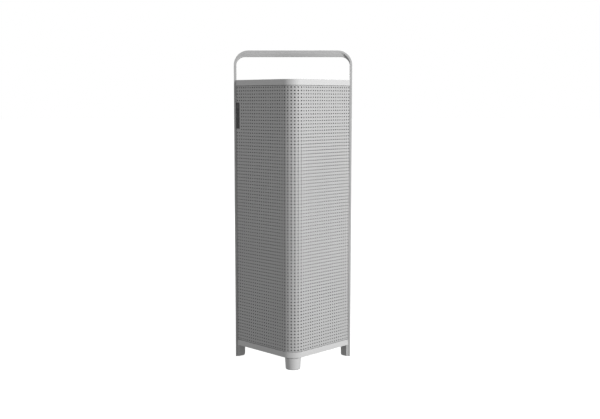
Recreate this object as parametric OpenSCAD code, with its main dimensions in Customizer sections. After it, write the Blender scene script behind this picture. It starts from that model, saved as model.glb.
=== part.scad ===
// Corner-plan air purifier: a flat-bar arch carries two plates, and a perforated sheet wraps
// the three-sided body between them. The air goes in through the sheet, through a round filter,
// and a fan blows it up a duct and out of a grille in the top plate.
// Origin: on the floor, at the middle of the footprint. The rounded corner faces -Y.

/* [Overall] */
// Height from the floor to the top of the carrying handle
total_h = 780; // [765:5:800]
// Width across the outside of the frame's two legs
overall_w = 295; // [290:1:305]
// Height of the body's top face above the floor
body_top = 707; // [700:1:712]
// Height of the body's underside above the floor
foot_h = 31; // [28:1:34]

/* [Frame] */
// Thickness of the flat bar that makes the arch
bar_t = 5; // [4:0.5:6]
// Depth of the flat bar, front to back
bar_d = 26; // [24:1:28]
// Outside radius of the arch's two upper corners
handle_r = 36; // [32:1:38]
// Height of the moulded grip under the handle
grip_h = 10.5; // [8:0.5:12]

/* [Body] */
// Thickness of the top and bottom plates
plate_t = 14; // [13:1:16]
// Radius of the upright front corner
corner_r = 34; // [32:1:36]
// Thickness of the perforated sheet
sheet_t = 1; // [0.8:0.1:1.2]
// How far the sheet stands back from the edges of the plates
sheet_inset = 1.5; // [1.2:0.1:1.8]
// Height of the shadow gap between a plate and the sheet
shadow_gap = 1; // [0.8:0.1:2]
// Radius at the top of the front foot
front_foot_r = 19.9; // [18:0.1:20.2]

/* [Filter and fan] */
// Outside radius of the round filter
filter_r = 56; // [54:0.5:56.5]
// Number of pleats in the filter
pleats = 40; // [30:1:44]
// Radius of the impeller
impeller_r = 49; // [46:0.5:50]
// Number of blades on the impeller
blades = 9; // [7:1:11]

/* [Rear door] */
// Height of the door opening
door_h = 360; // [340:5:370]
// Width of the door opening
door_w = 178; // [176:1:180]

/* [Controls] */
// Height of the control strip on the left face
control_h = 64.5; // [62:0.5:68]
// Width of the control strip
control_w = 11.4; // [11.2:0.1:12]
// Travel of a button
button_travel = 1; // [0.8:0.1:1]

/* [Hidden] */

// Finer than any drawing needs, because every round face stays a true one
$fn = 96;

// The cut-through allowance of every drilled hole
cut = 1;

// Plan of the body, in millimetres from the middle of the footprint
wall_x = overall_w / 2 - bar_t;
face_run = wall_x - corner_r * (sqrt(2) - 1);
depth = face_run + bar_d;
y_back = depth / 2;
y_wall = y_back - bar_d;
corner_y = corner_r - depth / 2;
side_gap = 0.5;
plate_rear = y_back - 5;
panel_outer = plate_rear - 4.2;
panel_t = 4;
panel_inner = panel_outer - panel_t;
return_gap = 0.8;
bar_mid_y = y_back - bar_d / 2;

// Levels
base_top = foot_h + plate_t;
top_under = body_top - plate_t;
sheet_low = base_top + shadow_gap;
sheet_high = top_under - shadow_gap;

// The filter and the fan share one upright axis
axis_y = 1;
inner_inset = 7;
deck_rear = panel_inner - 6;
filter_deck_z = base_top + 35;
filter_deck_t = 4;
fan_deck_t = 5;
door_low = base_top + 43;
door_high = door_low + door_h;
sill = 7;
filter_low = door_low + sill + 1;
gasket_t = 3;
filter_high = door_high - sill - gasket_t;
fan_deck_z = door_high + 2;
deck_top = fan_deck_z + fan_deck_t;
cap_t = 8;
eye_r = 36;
duct_r = 57;
duct_wall = 2.5;
bore_r = duct_r - duct_wall;
housing_h = 130;

// Motor
impeller_z = deck_top + 13;
back_disc_z = impeller_z + 38;
disc_t = 3;
motor_z = back_disc_z + disc_t + 5;
motor_h = 42;
motor_r = 26;
motor_end_t = 5;
bearing_r = 8;
shaft_r = 3;
run_clear = 0.05;
spider_z = motor_z + 16;
spider_h = 10;
arm_count = 4;
arm_w = 5;
grommet_r = 50;

// Outlet
grille_r = 60;
grille_t = 4;
rod_r = 2.5;
rod_spots = [[0, -63], [-112, 44], [112, 44]];

// Rear door and its hinge
flange_t = 5;
flange_inner_w = door_w - 26;
door_gap = 1;
door_t = 2.5;
seal_t = 1.5;
hinge_x = -door_w / 2 - 3;
hinge_y = panel_outer + 3.4;
knuckle_r = 3;
knuckle_h = 20;
knuckle_end_h = 10;
knuckle_gap = 0.5;
pin_r = 1.5;
hinge_levels = [door_low + 52, door_high - 52];
magnet_x = door_w / 2 - 9.5;
magnet_r = 2.8;
magnet_levels = [door_low + 92, door_high - 92];

// Control strip, on the left face, measured from the frame leg and inwards from the plate edge
control_x = 0.3;
control_y = 0.8;
control_low = top_under - 106.5;
control_deep = 7.6;
bezel_wall = 1.2;
button_r = 3.6;
button_spots = [0.21, 0.43, 0.65];
lens_spot = 0.86;
board_t = 1.6;

// Power inlet and air sensor, in the rear panel
inlet_x = 70;
inlet_z = base_top + 21;
inlet_w = 24;
inlet_h = 16;
sensor_x = 103;
sensor_z = top_under - 113;

bar_grey = [0.74, 0.75, 0.76];
sheet_grey = [0.62, 0.63, 0.64];
black = [0.12, 0.12, 0.13];
steel = [0.65, 0.66, 0.68];
white = [0.93, 0.93, 0.92];
green = [0.1, 0.35, 0.2];
copper = [0.75, 0.45, 0.2];

// Plan outline of the body, drawn in by inset on its two faces and by side at the legs
corner_steps = 24;
module plan(inset, side, rear) {
    x = wall_x - side;
    shoulder = y_wall + inset * sqrt(2) - side;
    r = corner_r - inset;
    polygon(concat(
        [[x, shoulder], [x, rear], [-x, rear], [-x, shoulder]],
        [for (i = [0 : corner_steps]) let (a = 225 + 90 * i / corner_steps)
            [r * cos(a), corner_y + r * sin(a)]]));
}

// A ring around the filter and fan axis
module ring(z, h, outer, inner) {
    translate([0, axis_y, z]) difference() {
        cylinder(r = outer, h = h);
        translate([0, 0, -cut]) cylinder(r = inner, h = h + 2 * cut);
    }
}

module block(x0, x1, y0, y1, z0, z1) {
    translate([x0, y0, z0]) cube([x1 - x0, y1 - y0, z1 - z0]);
}

// Outline of a doorway with round upper corners, from low up to high
module doorway(half_w, high, r, low) {
    translate([-half_w, low]) square([2 * half_w, high - r - low]);
    translate([-half_w + r, high - r - cut]) square([2 * (half_w - r), r + cut]);
    for (s = [-1, 1]) translate([s * (half_w - r), high - r]) circle(r = r);
}

// Stands an outline drawn in x and z upright, between two depths
module upright(y0, y1) {
    translate([0, y1, 0]) rotate([90, 0, 0]) linear_extrude(y1 - y0) children();
}

// Frame of the left face: x along it from the leg, y inwards, z up
module on_left_face() {
    translate([-wall_x, y_wall, 0]) rotate([0, 0, -45]) children();
}

screw_levels = [foot_h + plate_t / 2, body_top - plate_t / 2];
frame_screw_r = 2.4;
frame_screw_l = 14;
head_r = 4.4;
head_t = 2;

module frame_arch() color(bar_grey) difference() {
    upright(y_back - bar_d, y_back) difference() {
        doorway(overall_w / 2, total_h, handle_r, sole_t);
        doorway(wall_x, total_h - bar_t, handle_r - bar_t, -cut);
    }
    for (s = [-1, 1], z = screw_levels) translate([s * wall_x, bar_mid_y, z]) {
        rotate([0, 90, 0]) cylinder(r = frame_screw_r + 0.1, h = 4 * bar_t, center = true);
        translate([s * (bar_t - head_t), 0, 0]) rotate([0, s * 90, 0])
            cylinder(r = head_r + 0.1, h = bar_t);
    }
}

// The grip fills the underside of the handle and fades out down both legs
grip_corner_r = handle_r - 14;
grip_slope = 5;
module handle_grip() color(bar_grey) {
    low = total_h - bar_t - grip_h;
    front = y_back - bar_d + 0.5;
    back = y_back - 0.5;
    intersection() {
        upright(front, back) difference() {
            doorway(wall_x, total_h - bar_t, handle_r - bar_t, low - grip_corner_r);
            doorway(wall_x, low, grip_corner_r, low - 2 * grip_corner_r);
        }
        // The grip is narrower below, for the fingers
        rotate([90, 0, 90]) translate([0, 0, -wall_x]) linear_extrude(2 * wall_x) polygon([
            [front, total_h], [front, total_h - bar_t - 2], [front + grip_slope, low],
            [front + grip_slope, low - 2 * grip_corner_r],
            [back - grip_slope, low - 2 * grip_corner_r], [back - grip_slope, low],
            [back, total_h - bar_t - 2], [back, total_h]
        ]);
    }
}

module frame_screws() color(steel) for (s = [-1, 1], z = screw_levels)
    translate([s * (wall_x + bar_t - head_t), bar_mid_y, z]) rotate([0, -s * 90, 0]) {
        cylinder(r = frame_screw_r, h = frame_screw_l + bar_t - head_t);
        translate([0, 0, -head_t + 0.2]) cylinder(r = head_r, h = head_t - 0.2);
    }

// What both plates share: the outline, and lugs that reach the legs round the screws
module plate_blank(z) {
    translate([0, 0, z]) linear_extrude(plate_t) plan(0, side_gap, plate_rear);
    for (s = [-1, 1]) translate([s * (wall_x - 8), bar_mid_y, z + plate_t / 2])
        cube([16, 12, plate_t], center = true);
}

module plate_screw_holes() for (s = [-1, 1], z = screw_levels)
    translate([s * wall_x, bar_mid_y, z]) rotate([0, -s * 90, 0])
        cylinder(r = frame_screw_r + run_clear, h = frame_screw_l + 0.5);

rim = 7;
skin_t = 4;
boss_r = 7;
rod_bite = 8;
module top_plate() color(bar_grey) difference() {
    plate_blank(top_under);
    translate([0, axis_y, top_under - cut]) cylinder(r = bore_r, h = plate_t + 2 * cut);
    translate([0, axis_y, body_top - grille_t]) cylinder(r = grille_r, h = grille_t + cut);
    // The hollow underside keeps a wall round the outlet and a boss on each rod and lug
    difference() {
        translate([0, 0, top_under - cut]) linear_extrude(plate_t - skin_t - grille_t + cut)
            plan(rim + 3, 20, panel_inner - 8);
        translate([0, axis_y, top_under - 2 * cut]) cylinder(r = duct_r + 3, h = plate_t);
        for (p = rod_spots) translate([p[0], p[1], top_under - 2 * cut])
            cylinder(r = boss_r, h = plate_t);
    }
    for (p = rod_spots) translate([p[0], p[1], top_under - cut])
        cylinder(r = rod_r, h = rod_bite + cut);
    plate_screw_holes();
}

module base_plate() color(bar_grey) difference() {
    plate_blank(foot_h);
    difference() {
        translate([0, 0, foot_h - cut]) linear_extrude(plate_t - skin_t + cut)
            plan(rim, 20, plate_rear - rim);
        for (p = rod_spots) translate([p[0], p[1], foot_h - 2 * cut])
            cylinder(r = boss_r, h = plate_t);
        translate([0, front_foot_y, foot_h - 2 * cut]) cylinder(r = foot_boss_r, h = plate_t);
    }
    for (p = rod_spots) translate([p[0], p[1], base_top - rod_bite])
        cylinder(r = rod_r, h = rod_bite + cut);
    for (p = foot_screw_spots) translate([p[0], p[1], foot_h - cut])
        cylinder(r = foot_screw_r, h = foot_screw_bite + cut);
    plate_screw_holes();
}

module tie_rods() color(steel) for (p = rod_spots)
    translate([p[0], p[1], base_top - rod_bite])
        cylinder(r = rod_r, h = top_under - base_top + 2 * rod_bite);

// Round grille: rings joined by spokes, with a solid rim and hub
grille_rings = [14, 20.5, 27, 33.5, 40, 46.5];
grille_bar = 2;
spokes = 6;
module outlet_grille() color(black) {
    z = body_top - grille_t;
    ring(z, grille_t, grille_r, bore_r - 1);
    translate([0, axis_y, z]) cylinder(r = 9, h = grille_t);
    for (r = grille_rings) ring(z, grille_t, r + grille_bar / 2, r - grille_bar / 2);
    for (i = [0 : spokes - 1]) translate([0, axis_y, z]) rotate([0, 0, i * 360 / spokes + 30])
        translate([8, -grille_bar / 2, 0]) cube([bore_r - 8, grille_bar, grille_t - 1]);
}

// A sheet bent to the plan, with its two rear edges turned in along the legs
module bent_sheet(inset, side, t, z0, z1, rear) {
    translate([0, 0, z0]) linear_extrude(z1 - z0) difference() {
        plan(inset, side, rear);
        plan(inset + t, side + t, rear + cut);
    }
}

module perforated_shroud() color(sheet_grey) difference() {
    bent_sheet(sheet_inset, return_gap, sheet_t, sheet_low, sheet_high, panel_inner);
    on_left_face() block(-8, control_x + control_w + 0.2, -8, control_deep + 1,
        control_low - 0.2, control_low + control_h + 0.2);
}

screen_inset = 5;
screen_t = 0.8;
module prefilter_screen() color(black) difference() {
    bent_sheet(screen_inset, screen_inset, screen_t, sheet_low, sheet_high, panel_inner - 1);
    on_left_face() block(-12, control_x + control_w + 3, -8, 16,
        control_low - 5, control_low + control_h + 5);
}

gasket_inset = 2.2;
gasket_w = 4;
module shadow_gasket(z) bent_sheet(gasket_inset, gasket_inset + 0.8, gasket_w, z,
    z + shadow_gap, panel_inner - 1);
module shadow_gasket_top() color(black) shadow_gasket(sheet_high);
module shadow_gasket_bottom() color(black) shadow_gasket(base_top);

// Rear panel with the door opening, and a flange inside it that the door seals on
flange_w = 8;
module back_frame() color(sheet_grey) difference() {
    union() {
        difference() {
            block(-wall_x + return_gap, wall_x - return_gap, panel_inner, panel_outer,
                base_top, top_under);
            block(-door_w / 2, door_w / 2, panel_inner - cut, panel_outer + cut,
                door_low, door_high);
        }
        difference() {
            block(-door_w / 2 - flange_w, door_w / 2 + flange_w, panel_inner - flange_t,
                panel_inner, door_low - flange_w, door_high + 2);
            block(-flange_inner_w / 2, flange_inner_w / 2, panel_inner - flange_t - cut,
                panel_inner + cut, door_low + sill, door_high - sill);
        }
        for (z = hinge_levels, s = [-1, 1])
            hinge_knuckle(z + s * (knuckle_h / 2 + knuckle_gap + knuckle_end_h / 2),
                knuckle_end_h, -1, pin_r);
    }
    for (z = magnet_levels) translate([magnet_x, panel_inner + cut, z]) rotate([90, 0, 0])
        cylinder(r = magnet_r, h = 4 + cut);
    block(inlet_x - inlet_w / 2, inlet_x + inlet_w / 2, panel_inner - cut, panel_outer + cut,
        inlet_z - inlet_h / 2, inlet_z + inlet_h / 2);
    block(sensor_x - 10, sensor_x + 10, panel_inner - cut, panel_outer + cut,
        sensor_z - 10, sensor_z + 10);
}

// One barrel of a hinge, with a strap that lies on the panel to one side of it
strap_l = 11;
strap_t = 2.4;
module hinge_knuckle(z, h, side, hole_r) difference() {
    translate([hinge_x, hinge_y, z - h / 2]) {
        cylinder(r = knuckle_r, h = h);
        translate([side > 0 ? 0 : -strap_l, panel_outer - hinge_y, 0])
            cube([strap_l, strap_t, h]);
    }
    translate([hinge_x, hinge_y, z - h / 2 - cut]) cylinder(r = hole_r, h = h + 2 * cut);
    // The moving barrel's strap keeps clear of the panel beside it
    if (side > 0) block(hinge_x - 4, -door_w / 2 + door_gap, panel_outer - cut,
        panel_outer + 0.4, z - h, z + h);
}

module hinge_pins() color(steel) for (z = hinge_levels)
    translate([hinge_x, hinge_y, z - knuckle_h / 2 - knuckle_gap - knuckle_end_h])
        cylinder(r = pin_r, h = knuckle_h + 2 * (knuckle_gap + knuckle_end_h));

module door_magnets() color(steel) for (z = magnet_levels)
    translate([magnet_x, panel_inner, z]) rotate([90, 0, 0]) cylinder(r = magnet_r, h = 4);

liner_t = 2.5;
liner_d = 4;
module rear_door() color(sheet_grey) {
    x = door_w / 2 - door_gap;
    z0 = door_low + door_gap;
    z1 = door_high - door_gap;
    inside = panel_outer - door_t;
    liner_x = flange_inner_w / 2 - 3;
    block(-x, x, inside, panel_outer, z0, z1);
    // Stiffening rib that stands inside the opening
    difference() {
        block(-liner_x, liner_x, inside - liner_d, inside, z0 + sill + 3, z1 - sill - 3);
        block(-liner_x + liner_t, liner_x - liner_t, inside - liner_d - cut, inside + cut,
            z0 + sill + 3 + liner_t, z1 - sill - 3 - liner_t);
    }
    for (z = hinge_levels) hinge_knuckle(z, knuckle_h, 1, pin_r + run_clear);
}

module door_seal() color(black) difference() {
    x = door_w / 2 - door_gap - 0.5;
    z0 = door_low + door_gap + 0.5;
    z1 = door_high - door_gap - 0.5;
    block(-x, x, panel_inner, panel_inner + seal_t, z0, z1);
    block(-x + 4.5, x - 4.5, panel_inner - cut, panel_inner + seal_t + cut, z0 + 4.5, z1 - 4.5);
}

module door_strikes() color(steel) for (z = magnet_levels)
    translate([magnet_x, panel_inner + seal_t, z]) rotate([90, 0, 0])
        cylinder(r = magnet_r + 0.2, h = seal_t - 0.2);

// Pull: a moulded hook that fingers go behind
pull_h = 44;
module door_pull() color(black) {
    x = door_w / 2 - 22;
    z = (door_low + door_high) / 2;
    block(x, x + 4, panel_outer, panel_outer + 5, z - pull_h / 2, z + pull_h / 2);
    block(x, x + 15, panel_outer + 5, panel_outer + 7.4, z - pull_h / 2, z + pull_h / 2);
}

// Feet
sole_t = 0.8;
front_foot_y = 20.8 - depth / 2;
neck_h = 2;
foot_boss_r = 15;
foot_screw_r = 3;
foot_screw_bite = 4;
rear_foot_w = 18.4;
rear_foot_flat = 5;
rear_foot_y0 = y_wall + 0.5;
rear_foot_y1 = y_back - 1;
rear_foot_round = 3;
rear_foot_taper = 0.5;
rear_sole_y0 = y_wall + 10;
front_foot_taper = 1.9;
foot_screw_spots = [
    [0, front_foot_y], [-wall_x + rear_foot_w / 2, bar_mid_y + 4],
    [wall_x - rear_foot_w / 2, bar_mid_y + 4]
];
foot_screw_low = foot_h - 14;

module front_foot() color(bar_grey) difference() {
    translate([0, front_foot_y, 0]) {
        translate([0, 0, sole_t]) cylinder(r1 = front_foot_r - front_foot_taper,
            r2 = front_foot_r, h = foot_h - neck_h - sole_t);
        translate([0, 0, foot_h - neck_h]) cylinder(r = front_foot_r - 2.4, h = neck_h);
    }
    translate([0, front_foot_y, foot_screw_low]) cylinder(r = foot_screw_r, h = foot_h);
}

module front_sole() color(black) translate([0, front_foot_y, 0])
    cylinder(r = front_foot_r - front_foot_taper - 0.6, h = sole_t);

// Rear foot: a block against the inside of the leg. Its front is turned back at 45 degrees, and
// it is a little narrower and rounded at the bottom
arc_steps = 8;
module rear_foot() difference() {
    upright(rear_foot_y0, rear_foot_y1) {
        low_x = wall_x - rear_foot_w + rear_foot_taper;
        polygon(concat(
            [[wall_x - rear_foot_w, foot_h], [wall_x, foot_h], [wall_x, sole_t]],
            [for (i = [0 : arc_steps]) let (a = 270 - i * 90 / arc_steps)
                [low_x + rear_foot_round * (1 + cos(a)),
                    sole_t + rear_foot_round * (1 + sin(a))]]));
    }
    turn_x = wall_x - rear_foot_flat;
    inner_x = wall_x - rear_foot_w;
    translate([0, 0, -cut]) linear_extrude(foot_h + 2 * cut) polygon([
        [turn_x + cut, rear_foot_y0 - cut],
        [inner_x - cut, rear_foot_y0 + turn_x - inner_x + cut],
        [inner_x - cut, rear_foot_y0 - cut]]);
    translate([foot_screw_spots[2][0], foot_screw_spots[2][1], foot_screw_low])
        cylinder(r = foot_screw_r, h = foot_h);
}
module rear_foot_right() color(bar_grey) rear_foot();
module rear_foot_left() color(bar_grey) mirror([1, 0, 0]) rear_foot();

module rear_soles() color(black) for (s = [0, 1]) mirror([s, 0, 0])
    block(wall_x - rear_foot_w + rear_foot_round + 2, overall_w / 2 - 0.5,
        rear_sole_y0, rear_foot_y1 - 1, 0, sole_t);

module foot_screws() color(steel) for (p = foot_screw_spots)
    translate([p[0], p[1], foot_screw_low])
        cylinder(r = foot_screw_r, h = foot_h + foot_screw_bite - foot_screw_low);

// A shelf across the body, drilled for the rods and notched for the cable duct
module deck(z, t) difference() {
    translate([0, 0, z]) linear_extrude(t) plan(inner_inset, inner_inset, deck_rear);
    for (p = rod_spots) translate([p[0], p[1], z - cut])
        cylinder(r = rod_r + 0.2, h = t + 2 * cut);
    block(duct_x0 - 0.5, duct_x1 + 0.5, duct_y0 - 0.5, deck_rear + cut, z - cut, z + t + cut);
}

module filter_deck() color(black) {
    deck(filter_deck_z, filter_deck_t);
    translate([0, axis_y, filter_deck_z + filter_deck_t])
        cylinder(r = filter_r - 12, h = filter_low - filter_deck_z - filter_deck_t);
}

core_r = 33;
media_low = filter_low + cap_t;
media_h = filter_high - cap_t - media_low;
module filter_cap_bottom() color(black)
    translate([0, axis_y, filter_low]) cylinder(r = filter_r + 1, h = cap_t);
module filter_cap_top() color(black) ring(filter_high - cap_t, cap_t, filter_r + 1, core_r);
module filter_gasket() color(black) ring(filter_high, gasket_t, 46, 36);
module filter_core() color(white) ring(media_low, media_h, core_r + 1.5, core_r);
module carbon_sleeve() color(black) ring(media_low, media_h, filter_r, filter_r - 3);

// Pleated paper, folded between the core and the carbon sleeve
paper_t = 0.9;
function star(outer, inner) = [for (i = [0 : 2 * pleats - 1])
    let (r = i % 2 == 0 ? outer : inner, a = i * 180 / pleats) [r * cos(a), r * sin(a)]];
module hepa_media() color(white) translate([0, axis_y, media_low]) linear_extrude(media_h)
    difference() {
        polygon(star(filter_r - 3.3, core_r + 3.2 + paper_t));
        polygon(star(filter_r - 3.3 - 2 * paper_t, core_r + 2.2));
    }

module fan_deck() color(black) {
    difference() {
        deck(fan_deck_z, fan_deck_t);
        translate([0, axis_y, fan_deck_z - cut]) cylinder(r = eye_r, h = fan_deck_t + 2 * cut);
    }
    // Collar that the filter's gasket seals on
    ring(filter_high + gasket_t, fan_deck_z - filter_high - gasket_t, 46, eye_r);
}

module inlet_bellmouth() color(black) {
    ring(deck_top, 2, 50, eye_r);
    ring(deck_top + 2, 9, eye_r + 2.5, eye_r);
}

module fan_housing() color(black) ring(deck_top, housing_h, duct_r, bore_r);

module motor_spider() color(black) {
    ring(spider_z, spider_h, motor_r + 3, motor_r);
    for (i = [0 : arm_count - 1]) translate([0, axis_y, spider_z])
        rotate([0, 0, 45 + i * 360 / arm_count]) translate([motor_r + 2, -arm_w / 2, 0])
            cube([grommet_r - motor_r - 2, arm_w, spider_h]);
}

module motor_grommets() color(black) translate([0, axis_y, spider_z - 1]) intersection() {
    for (i = [0 : arm_count - 1]) rotate([0, 0, 45 + i * 360 / arm_count])
        translate([grommet_r, -5, 0]) cube([10, 10, spider_h + 2]);
    cylinder(r = bore_r, h = spider_h + 2);
}

module motor_can() color(steel) difference() {
    translate([0, axis_y, motor_z]) cylinder(r = motor_r, h = motor_h);
    translate([0, axis_y, motor_z + motor_end_t])
        cylinder(r = motor_r - 2, h = motor_h - 2 * motor_end_t);
    translate([0, axis_y, motor_z - cut]) cylinder(r = bearing_r, h = motor_h + 2 * cut);
}

rotor_r = 14;
rotor_inset = 4;
module motor_stator() color(copper) difference() {
    ring(motor_z + motor_end_t + rotor_inset, motor_h - 2 * (motor_end_t + rotor_inset),
        motor_r - 2, rotor_r + 1);
    // Slots that the windings lie in
    for (i = [0 : 8]) translate([0, axis_y, motor_z]) rotate([0, 0, i * 40])
        translate([rotor_r, -1.5, 0]) cube([7, 3, motor_h]);
}

module motor_bearings() color(steel) for (z = [motor_z, motor_z + motor_h - motor_end_t])
    ring(z, motor_end_t, bearing_r, shaft_r + run_clear);

module motor_rotor() color(black)
    ring(motor_z + motor_end_t + rotor_inset, motor_h - 2 * (motor_end_t + rotor_inset),
        rotor_r, shaft_r);

module motor_shaft() color(steel) translate([0, axis_y, impeller_z + 10])
    cylinder(r = shaft_r, h = motor_z + motor_h + 4 - impeller_z - 10);

// One backward-swept blade, as a thin curved outline from hub to rim
blade_steps = 8;
blade_t = 1.6;
sweep = 38;
function blade_point(i, off) =
    let (r = 20 + (impeller_r - 1 - 20) * i / blade_steps, a = sweep * i / blade_steps)
    [r * cos(a) - off * sin(a), r * sin(a) + off * cos(a)];
module impeller() color(white) {
    ring(impeller_z, 2, impeller_r, eye_r + 3.5);
    ring(back_disc_z, disc_t, impeller_r, shaft_r);
    ring(impeller_z + 12, back_disc_z - impeller_z - 12, 10, shaft_r);
    for (b = [0 : blades - 1]) translate([0, axis_y, impeller_z + 2])
        rotate([0, 0, b * 360 / blades]) linear_extrude(back_disc_z - impeller_z - 2)
            polygon(concat(
                [for (i = [0 : blade_steps]) blade_point(i, blade_t / 2)],
                [for (i = [blade_steps : -1 : 0]) blade_point(i, -blade_t / 2)]));
}

module outlet_duct() color(black)
    ring(deck_top + housing_h, top_under - deck_top - housing_h, duct_r, bore_r);

module acoustic_liner() color(sheet_grey)
    ring(deck_top + housing_h + 12, top_under - deck_top - housing_h - 15, bore_r, bore_r - 4);

// Control strip
button_levels = [for (s = button_spots) control_low + s * control_h];
lens_level = control_low + lens_spot * control_h;
face_x = control_x + control_w / 2;
module inward(x, y, z) translate([x, y, z]) rotate([-90, 0, 0]) children();

module control_bezel() color(black) on_left_face() difference() {
    block(control_x, control_x + control_w, control_y, control_y + control_deep,
        control_low, control_low + control_h);
    block(control_x + bezel_wall, control_x + control_w - bezel_wall, control_y + 1.6,
        control_y + control_deep + cut, control_low + bezel_wall,
        control_low + control_h - bezel_wall);
    for (z = button_levels) inward(face_x, control_y - cut, z)
        cylinder(r = button_r + 0.2, h = 4);
    block(face_x - 1, face_x + 1, control_y - cut, control_y + 3, lens_level - 4,
        lens_level + 4);
}

flange_y = 1.7;
module button(z) color(black) on_left_face() {
    inward(face_x, control_y, z) cylinder(r = button_r, h = 2.5);
    inward(face_x, control_y + flange_y, z) cylinder(r = button_r + 0.6, h = 1.2);
    inward(face_x, control_y + flange_y + 1, z) cylinder(r = 1.5, h = 1.7);
}
module button_power() button(button_levels[2]);
module button_up() button(button_levels[1]);
module button_down() button(button_levels[0]);

module indicator_lens() color(white) on_left_face()
    block(face_x - 1, face_x + 1, control_y, control_y + 3.4, lens_level - 4, lens_level + 4);

module control_board() color(green) on_left_face()
    block(control_x, control_x + control_w, control_y + control_deep,
        control_y + control_deep + board_t, control_low + 1, control_low + control_h - 1);

switch_h = control_deep - flange_y - 2.7 - button_travel - 0.2;
module button_switches() color(steel) on_left_face() for (z = button_levels)
    block(face_x - 2.2, face_x + 2.2, control_y + control_deep - switch_h,
        control_y + control_deep, z - 2.2, z + 2.2);

// Two-pin inlet, let into the rear panel
module power_inlet() color(black) difference() {
    union() {
        block(inlet_x - inlet_w / 2, inlet_x + inlet_w / 2, panel_outer - 20, panel_outer,
            inlet_z - inlet_h / 2, inlet_z + inlet_h / 2);
        block(inlet_x - inlet_w / 2 - 2, inlet_x + inlet_w / 2 + 2, panel_outer,
            panel_outer + 1.2, inlet_z - inlet_h / 2 - 2, inlet_z + inlet_h / 2 + 2);
    }
    block(inlet_x - 8.5, inlet_x + 8.5, panel_outer - 14, panel_outer + 2,
        inlet_z - 5.5, inlet_z + 5.5);
}

module inlet_pins() color(steel) for (s = [-1, 1])
    inward(inlet_x + s * 4.3, panel_outer - 14, inlet_z) cylinder(r = 1.2, h = 9);

board_z = base_top + 7;
module power_board() color(green) block(-60, 50, -10, 44, board_z, board_z + board_t);
module power_transformer() color(copper)
    block(-52, -20, -2, 28, board_z + board_t, board_z + board_t + 20);
module power_capacitors() color(black) for (x = [0, 20, 38])
    translate([x, 24, board_z + board_t]) cylinder(r = 7, h = 18);
module board_standoffs() color(steel) for (x = [-54, 44], y = [-4, 38])
    translate([x, y, base_top]) cylinder(r = 3, h = board_z - base_top);

module air_sensor() color(sheet_grey)
    block(sensor_x - 15, sensor_x + 15, panel_inner - 14, panel_inner, sensor_z - 20,
        sensor_z + 20);

// Slotted cover over the sensor's window
module sensor_grille() color(black) difference() {
    block(sensor_x - 13, sensor_x + 13, panel_outer, panel_outer + 1.5, sensor_z - 13,
        sensor_z + 13);
    for (i = [-2 : 2]) block(sensor_x - 9, sensor_x + 9, panel_outer - cut, panel_outer + 3,
        sensor_z + i * 4 - 1, sensor_z + i * 4 + 1);
}

// Upright channel that carries the wires past the filter
duct_x0 = -130;
duct_x1 = -122;
duct_y0 = y_wall + 0.6;
module cable_duct() color(black) difference() {
    block(duct_x0, duct_x1, duct_y0, deck_rear, base_top, control_low - 12);
    block(duct_x0 + 1.2, duct_x1 - 1.2, duct_y0 + 1.2, deck_rear - 1.2, base_top - cut,
        control_low);
}

frame_arch();
handle_grip();
frame_screws();
top_plate();
outlet_grille();
base_plate();
tie_rods();
perforated_shroud();
prefilter_screen();
shadow_gasket_top();
shadow_gasket_bottom();
back_frame();
hinge_pins();
door_magnets();
rear_door();
door_seal();
door_strikes();
door_pull();
front_foot();
front_sole();
rear_foot_left();
rear_foot_right();
rear_soles();
foot_screws();
filter_deck();
filter_cap_bottom();
hepa_media();
carbon_sleeve();
filter_core();
filter_cap_top();
filter_gasket();
fan_deck();
inlet_bellmouth();
fan_housing();
motor_spider();
motor_grommets();
motor_can();
motor_stator();
motor_bearings();
motor_rotor();
motor_shaft();
impeller();
outlet_duct();
acoustic_liner();
control_bezel();
button_power();
button_up();
button_down();
indicator_lens();
control_board();
button_switches();
power_inlet();
inlet_pins();
power_board();
power_transformer();
power_capacitors();
board_standoffs();
air_sensor();
sensor_grille();
cable_duct();
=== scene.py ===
import math

import bpy
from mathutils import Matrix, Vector


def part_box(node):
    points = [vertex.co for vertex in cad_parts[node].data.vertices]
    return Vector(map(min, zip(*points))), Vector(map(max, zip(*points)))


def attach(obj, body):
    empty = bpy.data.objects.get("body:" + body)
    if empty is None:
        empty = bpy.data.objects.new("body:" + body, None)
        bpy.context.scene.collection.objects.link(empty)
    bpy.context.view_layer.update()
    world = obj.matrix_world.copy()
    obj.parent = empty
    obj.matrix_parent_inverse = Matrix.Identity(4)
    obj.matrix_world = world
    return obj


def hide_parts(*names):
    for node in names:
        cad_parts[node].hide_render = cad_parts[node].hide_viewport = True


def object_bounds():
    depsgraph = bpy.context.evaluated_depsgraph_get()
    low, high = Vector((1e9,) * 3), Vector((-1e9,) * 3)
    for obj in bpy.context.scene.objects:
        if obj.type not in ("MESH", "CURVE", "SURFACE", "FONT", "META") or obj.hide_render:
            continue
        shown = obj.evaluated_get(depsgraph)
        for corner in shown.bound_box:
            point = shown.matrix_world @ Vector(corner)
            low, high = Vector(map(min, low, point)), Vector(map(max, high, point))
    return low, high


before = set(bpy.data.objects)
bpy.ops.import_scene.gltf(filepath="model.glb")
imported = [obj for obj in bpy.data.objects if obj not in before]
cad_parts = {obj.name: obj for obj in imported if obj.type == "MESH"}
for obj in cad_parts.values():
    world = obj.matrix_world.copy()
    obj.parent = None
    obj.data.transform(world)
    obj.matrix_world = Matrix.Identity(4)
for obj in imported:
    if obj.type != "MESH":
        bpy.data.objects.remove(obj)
cad_box = [list(corner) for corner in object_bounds()]

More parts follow.
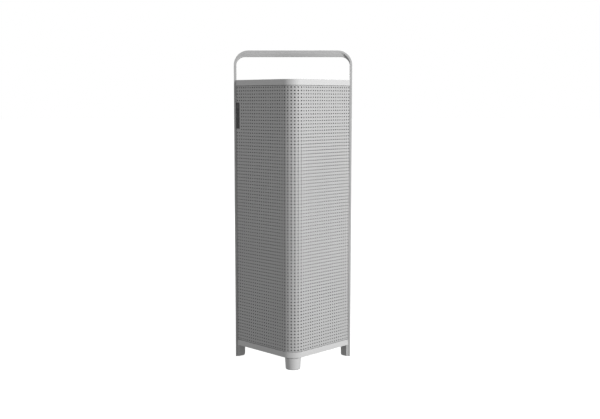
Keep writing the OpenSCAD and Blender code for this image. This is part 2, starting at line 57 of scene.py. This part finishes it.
# The camera stands a little over two metres off, level with the top of the body, and looks
# slightly down along +Y, straight at the rounded corner.
CAMERA_BACK = 2.316
CAMERA_HEIGHT = 0.657
LOOKS_DOWN = 6.63
camera_data = bpy.data.cameras.new("camera")
camera_data.sensor_width = 36.0
camera_data.lens = 56.4
camera_data.shift_x = 0.0117
camera = bpy.data.objects.new("camera", camera_data)
camera.location = (0.0, -CAMERA_BACK, CAMERA_HEIGHT)
camera.rotation_euler = (math.radians(90 - LOOKS_DOWN), 0.0, 0.0)
bpy.context.collection.objects.link(camera)
bpy.context.scene.camera = camera
bpy.context.scene.view_settings.view_transform = "Standard"

# The stage: a white floor that glows softly, as a light table does, a big soft lamp on the
# right of the front corner with three weaker ones, and a dim white room.
class Wire:
    """An output of one shader node. Arithmetic on it adds Math nodes to the same tree."""

    def __init__(self, tree, socket):
        self.tree = tree
        self.socket = socket

    def node(self, kind, settings=None, output=0, **inputs):
        """Adds a node, sets it up, joins its inputs, and gives one of its outputs."""
        made = self.tree.nodes.new(kind)
        for name, value in (settings or {}).items():
            setattr(made, name, value)
        for name, value in inputs.items():
            plug = made.inputs[int(name[1:])] if name[1:].isdigit() else made.inputs[name]
            if isinstance(value, Wire):
                self.tree.links.new(value.socket, plug)
            else:
                plug.default_value = value
        return Wire(self.tree, made.outputs[output])

    def maths(self, operation, first, second):
        return self.node("ShaderNodeMath", {"operation": operation}, _0=first, _1=second)

    def __add__(self, other):
        return self.maths("ADD", self, other)

    def __mul__(self, other):
        return self.maths("MULTIPLY", self, other)

    __radd__ = __add__
    __rmul__ = __mul__

    def mixed(self, low, high):
        """A colour between low, where this is 0, and high, where it is 1."""
        return self.node(
            "ShaderNodeMix",
            {"data_type": "RGBA", "clamp_factor": True},
            output=2, Factor=self, _6=(*low, 1.0), _7=(*high, 1.0))

    def noise(self, scale, detail=3.0):
        return self.node("ShaderNodeTexNoise", Vector=self, Scale=scale, Detail=detail)


def new_material(name, **constants):
    """An empty finish: gives the material, its shader's inputs and the piece's own coordinates."""
    material = bpy.data.materials.new(name)
    material.use_nodes = True
    tree = material.node_tree
    shader = tree.nodes["Principled BSDF"]
    for socket, value in constants.items():
        shader.inputs[socket.replace("_", " ")].default_value = value
    place = Wire(tree, tree.nodes.new("ShaderNodeTexCoord").outputs["Object"])
    return material, shader.inputs, place


def joined(inputs, name, wire):
    wire.tree.links.new(wire.socket, inputs[name])


FLOOR_SIZE = 60.0
FLOOR_GAP = 0.0005
FLOOR_GLOW = 0.97
bpy.ops.mesh.primitive_plane_add(size=FLOOR_SIZE, location=(0.0, 0.0, -FLOOR_GAP))
floor = bpy.context.object
floor.name = "floor"
floor_paint, floor_inputs, floor_place = new_material("floor_white", Roughness=0.9)
floor_inputs["Specular IOR Level"].default_value = 0.0
joined(floor_inputs, "Base Color", floor_place.noise(3.0).mixed((0.2, 0.2, 0.2), (0.22, 0.22, 0.22)))
floor_inputs["Emission Color"].default_value = (1.0, 1.0, 1.0, 1.0)
floor_inputs["Emission Strength"].default_value = FLOOR_GLOW
floor.data.materials.append(floor_paint)
# The floor throws no light back on the object, so that its shaded side stays dark
floor.visible_diffuse = False
floor.visible_glossy = False


def soft_lamp(name, place, aim, size, power):
    lamp_data = bpy.data.lights.new(name, "AREA")
    lamp_data.shape = "DISK"
    lamp_data.size = size
    lamp_data.energy = power
    lamp = bpy.data.objects.new(name, lamp_data)
    lamp.location = place
    lamp.rotation_euler = (Vector(aim) - Vector(place)).to_track_quat("-Z", "Y").to_euler()
    bpy.context.collection.objects.link(lamp)


body_middle = (0.0, 0.0, 0.42)
soft_lamp("key", (2.285, -1.785, 1.2), body_middle, 0.9, 98.0)
soft_lamp("left_fill", (-2.85, -0.45, 1.0), body_middle, 1.6, 12.0)
soft_lamp("top", (0.2, 0.3, 3.2), body_middle, 2.0, 24.0)
soft_lamp("rear", (-1.4, 2.6, 1.6), body_middle, 1.6, 60.0)

world = bpy.data.worlds.new("room")
world.use_nodes = True
bpy.context.scene.world = world
room = world.node_tree
room_light = Wire(room, room.nodes.new("ShaderNodeLightPath").outputs["Is Camera Ray"])
backdrop = room.nodes["Background"]
ROOM_GLOW = 0.33
backdrop.inputs["Color"].default_value = (1.0, 1.0, 1.0, 1.0)
room.links.new((room_light * (1.0 - ROOM_GLOW) + ROOM_GLOW).socket, backdrop.inputs["Strength"])


# Arch: one flat steel bar, bent at two corners into the handle and both rear legs, and powder
# coated light grey. The plates and the feet are screwed to it.
def bumped(inputs, height, strength, distance):
    joined(inputs, "Normal", height.node("ShaderNodeBump", Height=height, Strength=strength,
                                         Distance=distance))


def deselected():
    if bpy.context.object and bpy.context.object.mode != "OBJECT":
        bpy.ops.object.mode_set(mode="OBJECT")
    bpy.ops.object.select_all(action="DESELECT")


def chosen(piece):
    deselected()
    piece.select_set(True)
    bpy.context.view_layer.objects.active = piece


# Angles between two faces, in degrees: one flat face, an edge to ease, a bend to smooth over
FLAT_WITHIN = 0.6
EASED_ABOVE = 32.0
SMOOTH_BELOW = 40.0


def eased_copy(node, ease, segments=3):
    """A piece cut as its CAD solid is, with its edges eased to a small radius."""
    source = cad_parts[node]
    piece = bpy.data.objects.new(node + "_piece", source.data.copy())
    piece.data.materials.clear()
    bpy.context.collection.objects.link(piece)
    chosen(piece)
    bpy.ops.object.mode_set(mode="EDIT")
    bpy.ops.mesh.select_all(action="SELECT")
    bpy.ops.mesh.remove_doubles(threshold=1e-6)
    bpy.ops.mesh.dissolve_limited(angle_limit=math.radians(FLAT_WITHIN))
    bpy.ops.object.mode_set(mode="OBJECT")
    bevel = piece.modifiers.new("ease", "BEVEL")
    bevel.width = ease
    bevel.segments = segments
    bevel.limit_method = "ANGLE"
    bevel.angle_limit = math.radians(EASED_ABOVE)
    bevel.use_clamp_overlap = True
    bpy.ops.object.modifier_apply(modifier=bevel.name)
    bpy.ops.object.shade_smooth_by_angle(angle=math.radians(SMOOTH_BELOW))
    # The broad faces stay flat, and only the eased edges turn the light
    flat = piece.modifiers.new("flat", "WEIGHTED_NORMAL")
    flat.keep_sharp = True
    flat.weight = 100
    bpy.ops.object.modifier_apply(modifier=flat.name)
    return piece


def settled(piece, body, material, node):
    """Gives a finished piece its material, its body and the solid it stands for."""
    piece.data.materials.clear()
    piece.data.materials.append(material)
    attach(piece, body)
    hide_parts(node)


def powder_coat(name, colour, spread):
    """Satin powder coat: a fine pebbled skin with a little unevenness in tone and gloss."""
    paint, inputs, place = new_material(name, Specular_IOR_Level=0.3)
    cloud = place.noise(9.0, 4.0)
    pebble = place.noise(1900.0, 2.0)
    tone = cloud * 0.7 + pebble * 0.3
    joined(inputs, "Base Color", tone.mixed([c * (1 - spread) for c in colour],
                                            [c * (1 + spread) for c in colour]))
    joined(inputs, "Roughness", cloud * 0.12 + 0.52)
    bumped(inputs, pebble, 0.12, 0.0003)
    return paint


BAR_GREY = (0.42, 0.42, 0.42)
BAR_EASE = 0.0008
bar_paint = powder_coat("bar_paint", BAR_GREY, 0.05)
settled(eased_copy("frame_arch", BAR_EASE), "root", bar_paint, "frame_arch")

# Grip: a moulding clipped under the handle, rounded towards the fingers, in a plastic of the
# frame's own grey, which is a touch lighter than the coat on the bar.
GRIP_GREY = (0.50, 0.50, 0.50)
GRIP_EASE = 0.0030
grip_paint = powder_coat("grip_paint", GRIP_GREY, 0.03)
settled(eased_copy("handle_grip", GRIP_EASE, 4), "root", grip_paint, "handle_grip")

# Top and bottom plates: cast plates with softened edges, coated light grey. The arch is screwed
# to their ends, and three rods tie one to the other.
PLATE_GREY = (0.50, 0.50, 0.50)
PLATE_EASE = 0.0010
plate_paint = powder_coat("plate_paint", PLATE_GREY, 0.04)
for plate in ("top_plate", "base_plate"):
    settled(eased_copy(plate, PLATE_EASE), "root", plate_paint, plate)

# Feet: a tapered round foot under the front corner and a block inside each rear leg, coated as
# the plates are and screwed up into the bottom plate.
FOOT_EASE = 0.0008
for foot in ("front_foot", "rear_foot_left", "rear_foot_right"):
    settled(eased_copy(foot, FOOT_EASE), "root", plate_paint, foot)

# Perforated sheet: one steel sheet punched with rows of holes, bent round the front corner and
# turned in at both rear edges. It is cut flat, as the real one is, and then bent.
SHEET_T = 0.001
HOLE_PITCH = 0.008
HOLE_W = 0.0032
HOLE_CORNER = 0.29
PLAIN_MARGIN = 0.0025
CORNER_R = 0.034
SHEET_INSET = 0.0015
RETURN_GAP = 0.0008
BAR_T = 0.005
sheet_low, sheet_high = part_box("perforated_shroud")
wall_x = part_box("frame_arch")[1].x - BAR_T
wall_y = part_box("frame_arch")[0].y
bezel_low, bezel_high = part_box("control_bezel")
half_turn = math.pi / 4
bend_r = CORNER_R - SHEET_INSET
bend_y = cad_box[0][1] + CORNER_R
shoulder_x = wall_x - RETURN_GAP
shoulder_y = wall_y + SHEET_INSET * math.sqrt(2) - RETURN_GAP
face_run = (shoulder_x - bend_r / math.sqrt(2)) * math.sqrt(2)
return_run = sheet_high.y - shoulder_y
bend_run = bend_r * half_turn


def bent(along):
    """Where a point of the flat sheet lies in plan once it is bent, by its distance from the
    front corner's middle, positive to the right."""
    side = 1.0 if along >= 0 else -1.0
    run = abs(along)
    if run < bend_run:
        turn = run / bend_r
        spot = Vector((math.sin(turn), -math.cos(turn))) * bend_r
        spot.y += bend_y
    elif run < bend_run + face_run:
        out = Vector((math.sin(half_turn), -math.cos(half_turn)))
        spot = out * bend_r + Vector((out.x, -out.y)) * (run - bend_run)
        spot.y += bend_y
    else:
        spot = Vector((shoulder_x, shoulder_y + run - bend_run - face_run))
    return side * spot.x, spot.y


def cut_line(where, across):
    """Scores the flat sheet along a straight line without opening it."""
    bpy.ops.mesh.select_all(action="SELECT")
    bpy.ops.mesh.bisect(plane_co=where, plane_no=across)


def deleted_faces(mesh, unwanted):
    """Removes the faces whose middles the test picks."""
    bpy.ops.object.mode_set(mode="OBJECT")
    for face in mesh.polygons:
        face.select = unwanted(face.center)
    bpy.ops.object.mode_set(mode="EDIT")
    bpy.ops.mesh.delete(type="FACE")


def inside(spot, notch, margin=0.0):
    """Whether a place on the flat sheet lies in a notch, or within a margin of it."""
    if notch is None:
        return False
    left, right, low, high = notch
    return left - margin < spot.x < right + margin and low - margin < spot.y < high + margin


def perforated_sheet(name, start, end, notch=None):
    """A flat length of the sheet, between two distances from the corner, punched and bent."""
    height = sheet_high.z - sheet_low.z
    columns = max(1, round((end - start) / HOLE_PITCH))
    rows = round(height / HOLE_PITCH)
    deselected()
    bpy.ops.mesh.primitive_grid_add(
        x_subdivisions=columns, y_subdivisions=rows, size=1.0,
        location=((start + end) / 2, (sheet_low.z + sheet_high.z) / 2, 0.0))
    piece = bpy.context.object
    piece.name = name
    piece.scale = (end - start, height, 1.0)
    bpy.ops.object.transform_apply(location=True, rotation=True, scale=True)
    bpy.ops.object.mode_set(mode="EDIT")
    bpy.ops.mesh.select_mode(type="FACE")
    bpy.ops.mesh.select_all(action="SELECT")
    web = (HOLE_PITCH - HOLE_W) / 2
    bpy.ops.mesh.inset(thickness=web, use_individual=True)
    bpy.ops.mesh.bevel(offset=HOLE_W * HOLE_CORNER, segments=1, affect="VERTICES")
    bpy.ops.object.mode_set(mode="OBJECT")
    for face in piece.data.polygons:
        face.select = len(face.vertices) == 8 and not inside(face.center, notch, PLAIN_MARGIN)
    bpy.ops.object.mode_set(mode="EDIT")
    bpy.ops.mesh.delete(type="FACE")
    if notch:
        left, right, low, high = notch
        for where, across in (((left, 0, 0), (1, 0, 0)), ((right, 0, 0), (1, 0, 0)),
                              ((0, low, 0), (0, 1, 0)), ((0, high, 0), (0, 1, 0))):
            cut_line(where, across)
        deleted_faces(piece.data, lambda spot: inside(spot, notch))
    bpy.ops.object.mode_set(mode="OBJECT")
    for point in piece.data.vertices:
        point.co = (*bent(point.co.x), point.co.y)
    bpy.ops.object.mode_set(mode="EDIT")
    bpy.ops.mesh.select_all(action="SELECT")
    bpy.ops.mesh.normals_make_consistent(inside=False)
    bpy.ops.object.mode_set(mode="OBJECT")
    return piece


SHEET_GREY = (0.40, 0.40, 0.40)
sheet_paint = powder_coat("sheet_paint", SHEET_GREY, 0.06)
NOTCH_ON_FACE = 0.0113
NOTCH_ON_RETURN = 0.0100
NOTCH_GAP = 0.0002
fold = bend_run + face_run
bezel_notch = (-fold - NOTCH_ON_RETURN, -fold + NOTCH_ON_FACE,
               bezel_low.z - NOTCH_GAP, bezel_high.z + NOTCH_GAP)
sheet_parts = (
    ("sheet_left_return", -fold - return_run, -fold, bezel_notch),
    ("sheet_left", -fold, -bend_run, bezel_notch),
    ("sheet_corner", -bend_run, bend_run, None),
    ("sheet_right", bend_run, fold, None),
    ("sheet_right_return", fold, fold + return_run, None))
for name, start, end, notch in sheet_parts:
    part = perforated_sheet(name, start, end, notch)
    wall = part.modifiers.new("thickness", "SOLIDIFY")
    wall.thickness = SHEET_T
    wall.offset = 0.0
    chosen(part)
    bpy.ops.object.modifier_apply(modifier=wall.name)
    settled(part, "root", sheet_paint, "perforated_shroud")

# Pre-filter screen: a fine black woven mesh on a frame just behind the sheet. Its black is painted
# shade for the dark inside of the body, and it is what shows as dark through the holes. It stands
# between the two plates.
def woven_black(name, colour, threads):
    """A dark cloth of crossing threads, so close that it reads as one tone from a distance."""
    cloth, inputs, place = new_material(name)
    weft = place.node("ShaderNodeTexWave", {"bands_direction": "Z"}, Vector=place, Scale=threads)
    warp = place.node("ShaderNodeTexWave", {"bands_direction": "X"}, Vector=place, Scale=threads)
    weave = weft * 0.5 + warp * 0.5
    joined(inputs, "Base Color", weave.mixed([c * 0.6 for c in colour], colour))
    joined(inputs, "Roughness", weave * 0.1 + 0.8)
    bumped(inputs, weave, 0.3, 0.0004)
    return cloth


def refinished(material, *nodes):
    """A new finish for solids whose own shape is right."""
    for node in nodes:
        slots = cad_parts[node].data.materials
        slots.clear()
        slots.append(material)


# The screen's near-black grey is painted shade for the inside of the body seen through the holes.
SCREEN_SHADE_BLACK = (0.17, 0.17, 0.17)
refinished(woven_black("screen_cloth_painted_shade", SCREEN_SHADE_BLACK, 900.0), "prefilter_screen")

# Control strip: a slim black moulding high on the left face, let into a notch in the sheet, with
# three keys and a smoked lens. A small board with three switches stands behind it.
def moulded(name, colour, gloss, grain):
    """Moulded plastic: an even colour with a faint mottle, and a fine spark-eroded texture."""
    plastic, inputs, place = new_material(name)
    mottle = place.noise(60.0, 4.0)
    texture = place.noise(grain, 2.0)
    joined(inputs, "Base Color", mottle.mixed([c * 0.85 for c in colour], [c * 1.15 for c in colour]))
    joined(inputs, "Roughness", texture * 0.12 + (gloss - 0.06))
    bumped(inputs, texture, 0.15, 0.0002)
    return plastic


STRIP_BLACK = (0.024, 0.024, 0.026)
KEY_BLACK = (0.03, 0.03, 0.033)
LENS_SMOKE = (0.03, 0.035, 0.035)
BOARD_GREEN = (0.02, 0.12, 0.05)
STRIP_EASE = 0.0004
black_plastic = moulded("black_plastic", STRIP_BLACK, 0.5, 2600.0)
key_plastic = moulded("key_plastic", KEY_BLACK, 0.42, 3200.0)
solder_mask = moulded("solder_mask", BOARD_GREEN, 0.35, 900.0)
settled(eased_copy("control_bezel", STRIP_EASE), "root", black_plastic,
        "control_bezel")
for key in ("button_power", "button_up", "button_down"):
    settled(eased_copy(key, STRIP_EASE), key, key_plastic, key)
refinished(moulded("smoked_lens", LENS_SMOKE, 0.2, 3000.0), "indicator_lens")
refinished(solder_mask, "control_board")

# Outlet grille, power inlet and sensor grille: black mouldings in the same plastic. The first is
# dropped into the top plate, and the other two are snapped into the rear panel.
for fitting, ease in (("outlet_grille", 0.0004), ("power_inlet", 0.0005),
                      ("sensor_grille", 0.0003)):
    settled(eased_copy(fitting, ease), "root", black_plastic, fitting)

# Rear panel and door: plain folded steel sheet, coated like the perforated one. The door hangs
# on two pins, has a moulded pull, and closes on a soft black seal.
PANEL_EASE = 0.0003
DOOR_EASE = 0.0004
PULL_EASE = 0.0009
RUBBER_BLACK = (0.018, 0.018, 0.018)
settled(eased_copy("door_pull", PULL_EASE, 4), "door", black_plastic,
        "door_pull")
settled(eased_copy("back_frame", PANEL_EASE, 2), "root", sheet_paint,
        "back_frame")
settled(eased_copy("rear_door", DOOR_EASE, 2), "door", sheet_paint, "rear_door")
rubber = moulded("rubber", RUBBER_BLACK, 0.8, 1500.0)
refinished(rubber, "door_seal")

# Soft strips and soles: strips of dark grey foam in the gaps above and below the sheet, whose grey is
# painted shade for the shadow lines in these gaps, and grey rubber soles under the feet.
# The strips' dark grey is painted shade: it darkens the gaps above and below the sheet.
GAP_SHADE_GREY = (0.11, 0.11, 0.113)
SOLE_GREY = (0.2, 0.2, 0.204)
refinished(moulded("gap_strip_painted_shade", GAP_SHADE_GREY, 0.9, 900.0),
           "shadow_gasket_top", "shadow_gasket_bottom")
refinished(moulded("sole_rubber", SOLE_GREY, 0.85, 1500.0), "front_sole", "rear_soles")

# Filter: pleated white paper round a white core, in a black carbon cloth, between two black caps.
# It stands on the filter shelf, and a rubber gasket seals its top.
PAPER_WHITE = (0.78, 0.78, 0.74)
CORE_WHITE = (0.7, 0.7, 0.68)
CARBON_BLACK = (0.03, 0.03, 0.03)
white_plastic = moulded("white_plastic", CORE_WHITE, 0.45, 2000.0)
refinished(moulded("paper", PAPER_WHITE, 0.85, 1400.0), "hepa_media")
refinished(white_plastic, "filter_core")
refinished(woven_black("carbon_cloth", CARBON_BLACK, 500.0), "carbon_sleeve")
refinished(black_plastic, "filter_deck", "filter_cap_bottom", "filter_cap_top")
refinished(rubber, "filter_gasket")

# Fan: a white impeller in a black housing above its shelf, and a black duct up to the grille,
# lined with open foam. The motor hangs on rubber mounts from a black spider.
DUCT_FOAM_GREY = (0.1, 0.1, 0.105)
refinished(white_plastic, "impeller")
refinished(black_plastic, "fan_deck", "inlet_bellmouth", "fan_housing", "motor_spider",
           "motor_rotor", "outlet_duct")
refinished(moulded("foam", DUCT_FOAM_GREY, 0.95, 700.0), "acoustic_liner")
refinished(rubber, "motor_grommets")

# Power supply and air sensor: a green board with its capacitors low in the body, a sensor in a
# grey case behind its grille, and a black duct for the wires between them.
SENSOR_GREY = (0.36, 0.37, 0.38)
refinished(solder_mask, "power_board")
refinished(black_plastic, "power_capacitors", "cable_duct")
refinished(moulded("sensor_case", SENSOR_GREY, 0.5, 1800.0), "air_sensor")

# Metal parts: plated steel screws, rods, pins, magnets and motor parts, which keep their draw
# lines, and enamelled copper wire on the motor and the transformer.
def drawn_metal(name, colour, gloss):
    """Plated metal with fine draw lines along the piece."""
    metal, inputs, place = new_material(name, Metallic=1.0)
    lines = place.node("ShaderNodeMapping", Vector=place, Scale=(1.0, 1.0, 14.0)).noise(260.0, 4.0)
    joined(inputs, "Base Color", lines.mixed([c * 0.85 for c in colour], colour))
    joined(inputs, "Roughness", lines * 0.15 + gloss)
    bumped(inputs, lines, 0.08, 0.0002)
    return metal


STEEL_GREY = (0.6, 0.6, 0.62)
COPPER_RED = (0.72, 0.4, 0.2)
refinished(drawn_metal("plated_steel", STEEL_GREY, 0.28), "frame_screws", "tie_rods",
           "hinge_pins", "door_magnets", "door_strikes", "foot_screws", "motor_can",
           "motor_bearings", "motor_shaft", "button_switches", "inlet_pins", "board_standoffs")
refinished(drawn_metal("copper_wire", COPPER_RED, 0.35), "motor_stator", "power_transformer")
